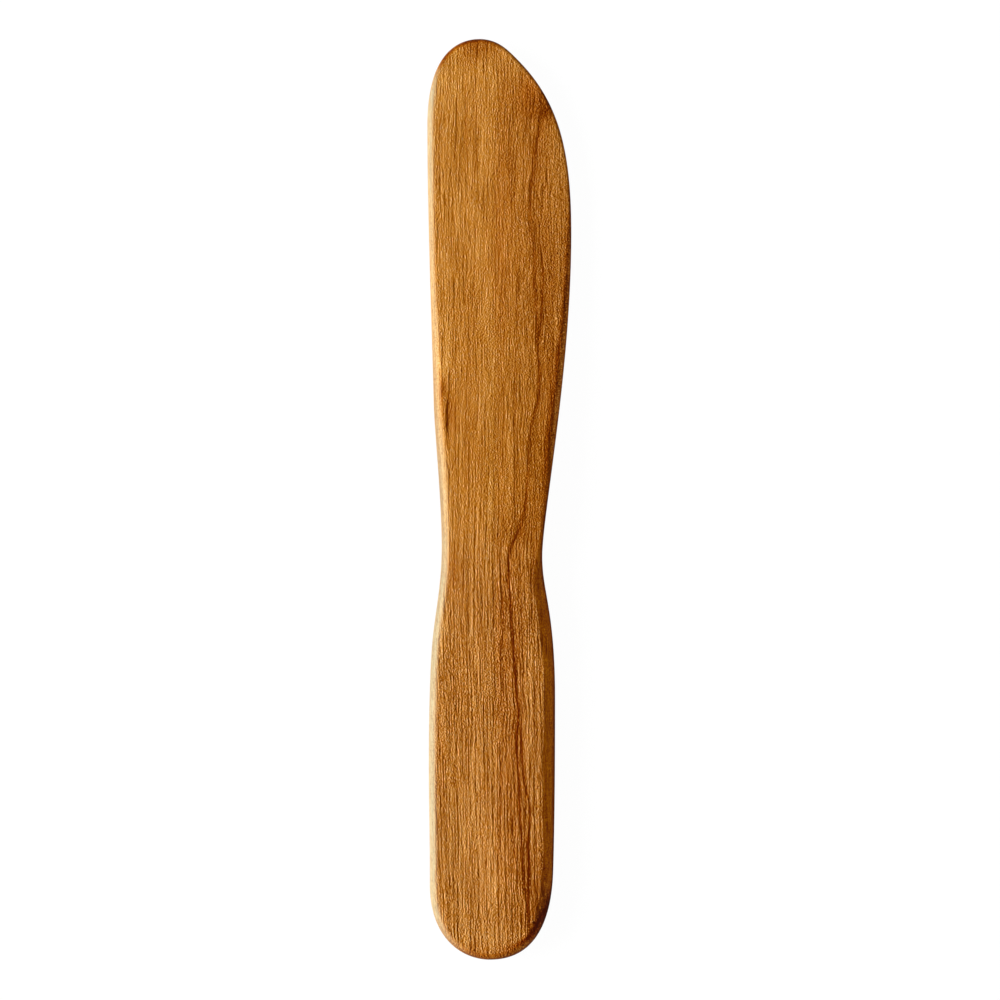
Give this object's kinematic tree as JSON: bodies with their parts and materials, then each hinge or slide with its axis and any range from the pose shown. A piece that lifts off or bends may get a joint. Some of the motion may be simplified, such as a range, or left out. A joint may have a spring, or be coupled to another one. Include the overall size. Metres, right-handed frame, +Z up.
{
  "type": "butter knife",
  "caption": "Wooden butter knife carved from a single plank: broad rounded blade thinned toward tip and spreading edge, waisted neck, flat handle with eased edges.",
  "frame": {"origin": "middle of the knife's length and width, on the plane it lies on", "axes": "+Y from the handle to the tip of the blade, +X from the spine to the spreading edge, +Z up through the thickness"},
  "size_m": [0.0274, 0.175, 0.007],
  "materials": {
    "oiled_wood": "oiled, satin, open grain"
  },
  "bodies": {
    "root": {"knife": "oiled_wood"}
  },
  "joints": []
}
